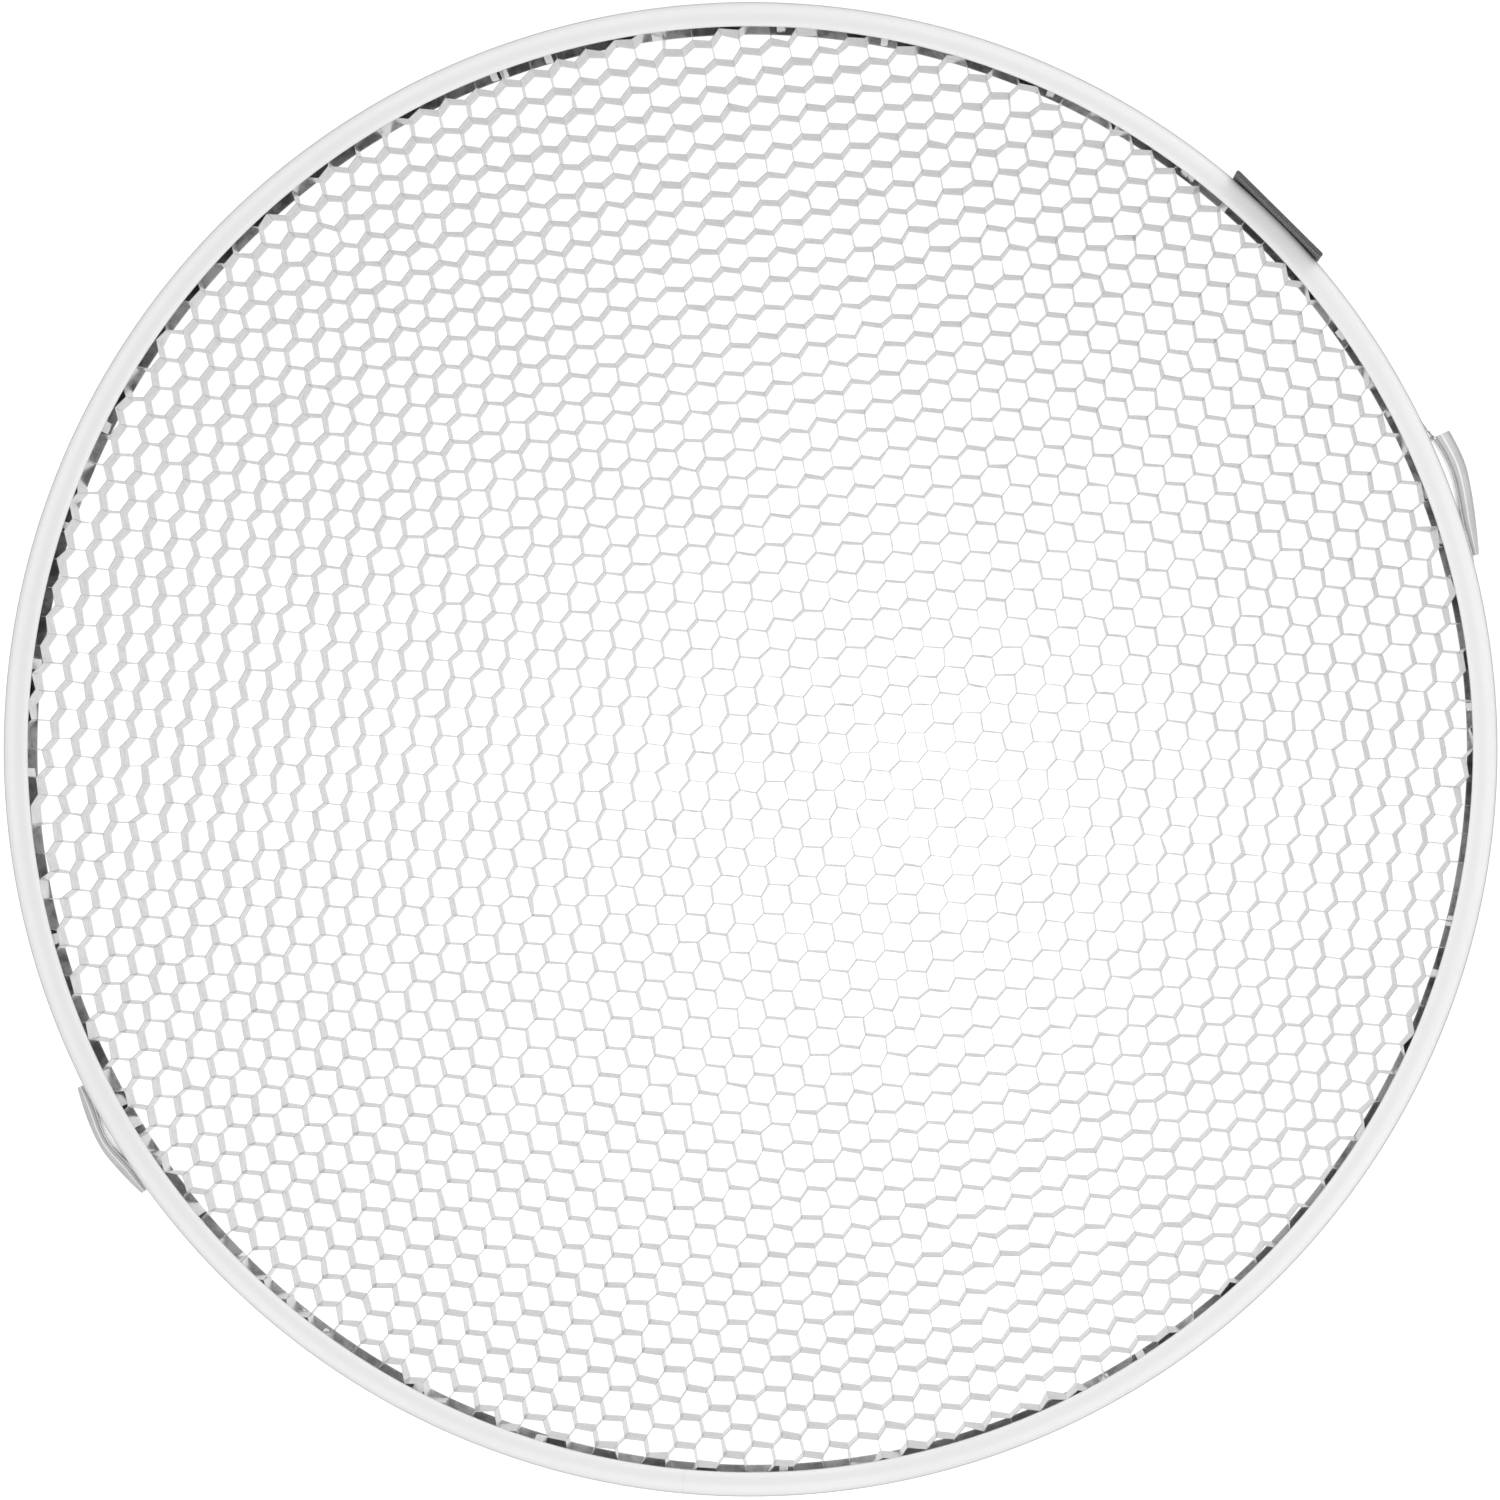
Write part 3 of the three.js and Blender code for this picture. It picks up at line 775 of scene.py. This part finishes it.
def strip_solid(back, front, bow, random):
    """Points, faces and running coordinates of a foil strip of real thickness."""
    heights = np.array([0, 0.03, 0.2, 0.4, 0.6, 0.8, 0.97, 1.0])
    n, levels = len(back), len(heights)
    length = np.concatenate([[0], np.cumsum(np.hypot(*np.diff((back + front) / 2, axis=0).T))])
    ragged = 0.05 * MM * random.randn(2, n)
    points = np.zeros((2, n, levels, 3))
    for k, h in enumerate(heights):
        line = back * (1 - h) + front * h
        before = np.diff(line, axis=0, prepend=line[:1])
        after = np.diff(line, axis=0, append=line[-1:])
        before[0], after[-1] = after[0], before[-1]
        before = before / np.linalg.norm(before, axis=1)[:, None]
        after = after / np.linalg.norm(after, axis=1)[:, None]
        along = before + after
        along /= np.maximum(np.linalg.norm(along, axis=1), 1e-9)[:, None]
        normal = np.stack([-along[:, 1], along[:, 0]], -1)
        mitre = 1 / np.maximum(np.abs((along * after).sum(1)), 0.4)
        middle = line + normal * (bow * math.sin(math.pi * h) ** 0.5)[:, None]
        z = CORE_BACK + (CORE_FRONT - CORE_BACK) * h
        edge = ragged[0] if k == 0 else ragged[1] if k == levels - 1 else 0
        for side, sign in enumerate((-1, 1)):
            points[side, :, k, :2] = middle + sign * FOIL_T / 2 * mitre[:, None] * normal
            points[side, :, k, 2] = z + np.abs(edge) * (1 if k == 0 else -1)
    index = np.arange(2 * n * levels).reshape(2, n, levels)
    a, b = index[0], index[1]

    def quads(p, q, r, s):
        return np.stack([p.ravel(), q.ravel(), r.ravel(), s.ravel()], -1)

    faces = [
        quads(a[:-1, :-1], a[1:, :-1], a[1:, 1:], a[:-1, 1:]),
        quads(b[:-1, :-1], b[:-1, 1:], b[1:, 1:], b[1:, :-1]),
        quads(a[:-1, -1], a[1:, -1], b[1:, -1], b[:-1, -1]),
        quads(a[:-1, 0], b[:-1, 0], b[1:, 0], a[1:, 0]),
        quads(a[0, :-1], a[0, 1:], b[0, 1:], b[0, :-1]),
        quads(a[-1, :-1], b[-1, :-1], b[-1, 1:], a[-1, 1:]),
    ]
    uv = np.zeros((2, n, levels, 2))
    uv[..., 0] = length[None, :, None]
    uv[..., 1] = points[..., 2]
    return points.reshape(-1, 3), np.concatenate(faces), uv.reshape(-1, 2)


def make_core():
    """All the ribbons, three to a piece, each piece in the place of one coarse ribbon of the frame."""
    walls = glued_walls()
    rows = len([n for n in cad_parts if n.startswith("foil_ribbon_")])
    groups = [[] for _ in range(rows)]
    for index in range(2 * HALF_RIBBONS + 1):
        row = min(max(round((index - HALF_RIBBONS) / 3) + rows // 2, 0), rows - 1)
        groups[row].append(index)
    for row, indices in enumerate(groups):
        random = np.random.RandomState(100 + row)
        points, faces, uv, count = [], [], [], 0
        for index in indices:
            path = trimmed(*refined(*ribbon_path(index, walls), random))
            if path is None:
                continue
            p, f, t = strip_solid(*fold_ends(*path, random), random)
            points.append(p)
            faces.append(f + count)
            uv.append(t)
            count += len(p)
        name = f"ribbons_{row + 1:02d}"
        obj = new_object(name, np.concatenate(points), np.concatenate(faces), np.concatenate(uv), 25)
        finish_piece(obj, "foil", "grid", [f"foil_ribbon_{row + 1:02d}"])


# ---------------------------------------------------------------- spring clips


def leaf_height(clip, degrees):
    """Height of the leaf's middle above the outer wall, in metres."""
    inside = -WALL - LEAF_T / 2
    outside = LEAF_T / 2 + 0.22 * MM
    climb = smoothstep(degrees, clip["pivot"] - 4, clip["pivot"] - 1.3)
    start, end, rise = clip["arch"]
    along = (degrees - start) / (end - start)
    arch = math.sin(math.pi * along) ** 2 if 0 < along < 1 else 0
    return inside + (outside - inside) * climb + (rise * MM - outside) * arch


def make_leaf(clip):
    """The whole spring strip, from its riveted foot to its free tail."""
    start, end = clip["pivot"] - FOOT_REACH, clip["tail"]
    steps = 110
    half_w, half_t, edge = LEAF_W / 2, LEAF_T / 2, 0.18 * MM
    outline = [(half_w, -half_t + edge), (half_w, half_t - edge), (half_w - edge, half_t), (0, half_t),
               (-half_w + edge, half_t), (-half_w, half_t - edge), (-half_w, -half_t + edge),
               (-half_w + edge, -half_t), (0, -half_t), (half_w - edge, -half_t)]
    sections, uv = [], []
    for i in range(steps + 1):
        degrees = start + (end - start) * i / steps
        run = math.radians(degrees - start) * RING_R
        left = math.radians(end - start) * RING_R - run
        corner = 1.2 * MM
        narrow = corner * (1 - math.sqrt(max(1 - max(1 - min(run, left) / corner, 0) ** 2, 0.0)))
        h = leaf_height(clip, degrees)
        before, after = (on_ring(d, leaf_height(clip, d), 0) for d in (degrees - 0.1, degrees + 0.1))
        forward = (after - before).normalized()
        outward = Vector((forward.y, -forward.x, 0))
        middle = on_ring(degrees, h, MID_Z)
        tongue = smoothstep(degrees, clip["bumper"][-1][0], clip["bumper"][-1][0] + 0.6)
        scale = max(half_w * (1 - 0.7 * tongue) - narrow, 0.3 * MM) / half_w
        sections.append([middle + outward * t + Vector((0, 0, w * scale)) for w, t in outline])
        uv += [(run, w) for w, _ in outline]
    leaf = new_object(f"{clip['name']}_leaf", *tube(sections), uv, 40)
    finish_piece(leaf, "spring_steel", None, [f"{clip['name']}_leaf_foot", f"{clip['name']}_leaf_arm"])
    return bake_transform(leaf)


def make_bumper(clip):
    """The plastic pad of oval section on the leaf's outer side, with a peg down through the leaf."""
    half = BUMPER_W / 2
    line = spline(clip["bumper"], 64)
    sections, uv, run = [], [], 0
    last = None
    for i, (degrees, top) in enumerate(line):
        base = max(leaf_height(clip, degrees), 0) + LEAF_T / 2 + 0.02 * MM
        rise = top * MM - base
        to_end = min(i, len(line) - 1 - i)
        shrink = (0.06, 0.02, 0.0)[min(to_end, 2)]
        rows = []
        for k in range(28):
            a = math.pi + 2 * math.pi * k / 28
            z, h = (math.copysign(abs(f) ** 0.85, f) * (1 - shrink) for f in (math.cos(a), math.sin(a)))
            rows.append(on_ring(degrees, base + rise / 2 * (1 + h), MID_Z + z * half))
        middle = rows[21]
        run += (middle - last).length if last else 0
        last = middle
        sections.append(rows)
        uv += [(run, k * 0.6 * MM) for k in range(len(rows))]
    points, faces = tube(sections)
    under = leaf_height(clip, clip["peg"]) - LEAF_T / 2 - 0.01 * MM
    first = len(points)
    for degrees in (clip["peg"] - 0.15, clip["peg"] + 0.15):
        for h, z in ((0.35 * MM, -2.2 * MM), (under, -2.6 * MM), (under, 2.6 * MM), (0.35 * MM, 2.2 * MM)):
            points.append(on_ring(degrees, h, MID_Z + z))
            uv.append((h, z))
    box = [(0, 1, 2, 3), (7, 6, 5, 4), (0, 4, 5, 1), (1, 5, 6, 2), (2, 6, 7, 3), (3, 7, 4, 0)]
    faces += [tuple(first + i for i in face) for face in box]
    obj = new_object(f"{clip['name']}_pad", points, faces, uv, 35)
    return finish_piece(obj, "bumper", clip["name"], [f"{clip['name']}_bumper"])


# ---------------------------------------------------------------- pull tab


def make_tab():
    """A woven strap, riveted flat to the wall, with ribbed faces, rounded selvedges and a ragged cut top."""
    random = np.random.RandomState(11)
    across, up = 176, 120
    half = TAB_W / 2
    height = TAB_TOP - TAB_Z
    base = RING_R + 0.05 * MM
    points, uv = [], []
    ragged = 0.10 * MM * random.randn(across + 1)
    for side in (0, 1):
        for i in range(across + 1):
            t = -half + TAB_W * i / across
            for k in range(up + 1):
                z = TAB_Z + height * k / up
                weave = math.sin(2 * math.pi * z / (0.9 * MM)) * math.sin(2 * math.pi * t / (1.1 * MM))
                near_edge = min(half - abs(t), 0.8 * MM) / (0.8 * MM)
                near_top = min(TAB_TOP - z, z - TAB_Z, 0.5 * MM) / (0.5 * MM)
                body = TAB_T / 2 - 0.05 * MM + 0.04 * MM * weave
                body *= 0.55 + 0.45 * math.sin(0.5 * math.pi * near_edge)
                body *= 0.72 + 0.28 * near_top
                body += 0.03 * MM * random.randn() * (1.6 - near_top)
                r = base + TAB_T / 2 + (body if side else -body)
                cut_z = z - abs(ragged[i]) * (k == up)
                points.append((max(r, base), t, cut_z))
                uv.append((t, z))
    n = up + 1
    total = (across + 1) * n
    faces = []
    for i in range(across):
        for k in range(up):
            a = i * n + k
            faces.append((a, a + 1, a + n + 1, a + n))
            b = total + a
            faces.append((b, b + n, b + n + 1, b + 1))
        for k in (0, up):
            a, b = i * n + k, total + i * n + k
            faces.append((a, a + n, b + n, b) if k == 0 else (a, b, b + n, a + n))
    for i in (0, across):
        for k in range(up):
            a, b = i * n + k, total + i * n + k
            faces.append((a, b, b + 1, a + 1) if i == 0 else (a, a + 1, b + 1, b))
    strap = new_object("tab_strap", points, faces, uv, 60)
    turn_to(strap, TAB_ANGLE, 0, 0)
    finish_piece(strap, "webbing", None, ["tab_foot", "tab_flap"])
    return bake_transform(strap)


# ---------------------------------------------------------------- stage


def make_floor():
    """A glowing white table top, a little brighter towards -Y."""
    mesh = bpy.data.meshes.new("floor")
    size = 6
    corners = [(-size, -size, 0), (size, -size, 0), (size, size, 0), (-size, size, 0)]
    mesh.from_pydata(corners, [], [(0, 1, 2, 3)])
    floor = bpy.data.objects.new("floor", mesh)
    bpy.context.scene.collection.objects.link(floor)
    s = Shader("floor_white")
    x, y, _ = s.parts(s.place())
    towards_low_left = s.math("ADD", s.math("MULTIPLY", x, -0.35), s.math("MULTIPLY", y, -0.94))
    glow = s.ramp(towards_low_left, -0.2, 0.26, 1.0, 1.1)
    s.set(Base_Color=(0.05, 0.05, 0.05), Roughness=0.9, Emission_Color=(1, 1, 1), Emission_Strength=glow)
    mesh.materials.append(s.material)


def make_world():
    """Soft overhead light that falls off towards the horizon."""
    world = bpy.data.worlds.new("studio")
    world.use_nodes = True
    bpy.context.scene.world = world
    nodes, links = world.node_tree.nodes, world.node_tree.links
    place = nodes.new("ShaderNodeTexCoord")
    split = nodes.new("ShaderNodeSeparateXYZ")
    ramp = nodes.new("ShaderNodeValToRGB")
    links.new(place.outputs["Generated"], split.inputs["Vector"])
    links.new(split.outputs["Z"], ramp.inputs["Fac"])
    links.new(ramp.outputs["Color"], nodes["Background"].inputs["Color"])
    stops = [(0.0, 0.24), (0.3, 0.42), (0.7, 0.66), (0.95, 0.66), (0.99, 0.5)]
    elements = ramp.color_ramp.elements
    while len(elements) < len(stops):
        elements.new(0.5)
    for element, (position, value) in zip(elements, stops):
        element.position = position
        element.color = (value, value, value, 1)
    nodes["Background"].inputs["Strength"].default_value = 1.0


def make_light(name, azimuth, elevation, distance, size, power):
    """A square soft light aimed at the grid."""
    data = bpy.data.lights.new(name, "AREA")
    data.size = size
    data.energy = power
    light = bpy.data.objects.new(name, data)
    bpy.context.scene.collection.objects.link(light)
    a, e = math.radians(azimuth), math.radians(elevation)
    light.location = Vector((math.cos(a) * math.cos(e), math.sin(a) * math.cos(e), math.sin(e))) * distance
    light.rotation_euler = (-light.location).to_track_quat("-Z", "Y").to_euler()


def make_camera():
    """Looks down on the front face from beside the grid's axis."""
    eye = Vector((0.0622, -0.0143, 2.003))
    aim = Vector((0.0009, -0.00048, RING_DEPTH))
    width = 0.5163  # what the picture spans at the front face
    data = bpy.data.cameras.new("camera")
    data.sensor_width = 36
    data.lens = 36 * (eye - aim).length / width
    data.clip_end = 50
    camera = bpy.data.objects.new("camera", data)
    back = (eye - aim).normalized()
    right = Vector((0, 1, 0)).cross(back).normalized()
    camera.matrix_world = Matrix((right, back.cross(right), back)).transposed().to_4x4()
    camera.location = eye
    bpy.context.scene.collection.objects.link(camera)
    bpy.context.scene.camera = camera


make_camera()
make_floor()
make_world()
make_light("soft_key", -40, 55, 2.0, 0.9, 8.1)
make_light("soft_right", 48, 52, 2.0, 0.9, 8.0)
make_light("soft_left", 150, 55, 2.1, 1.0, 4.0)
make_light("soft_low", 235, 55, 2.1, 1.0, 5.4)
bpy.context.scene.view_settings.view_transform = "Standard"

make_ring()
make_splice()
make_rivets()
make_core()
for clip in CLIPS:
    make_leaf(clip)
    make_bumper(clip)
make_tab()
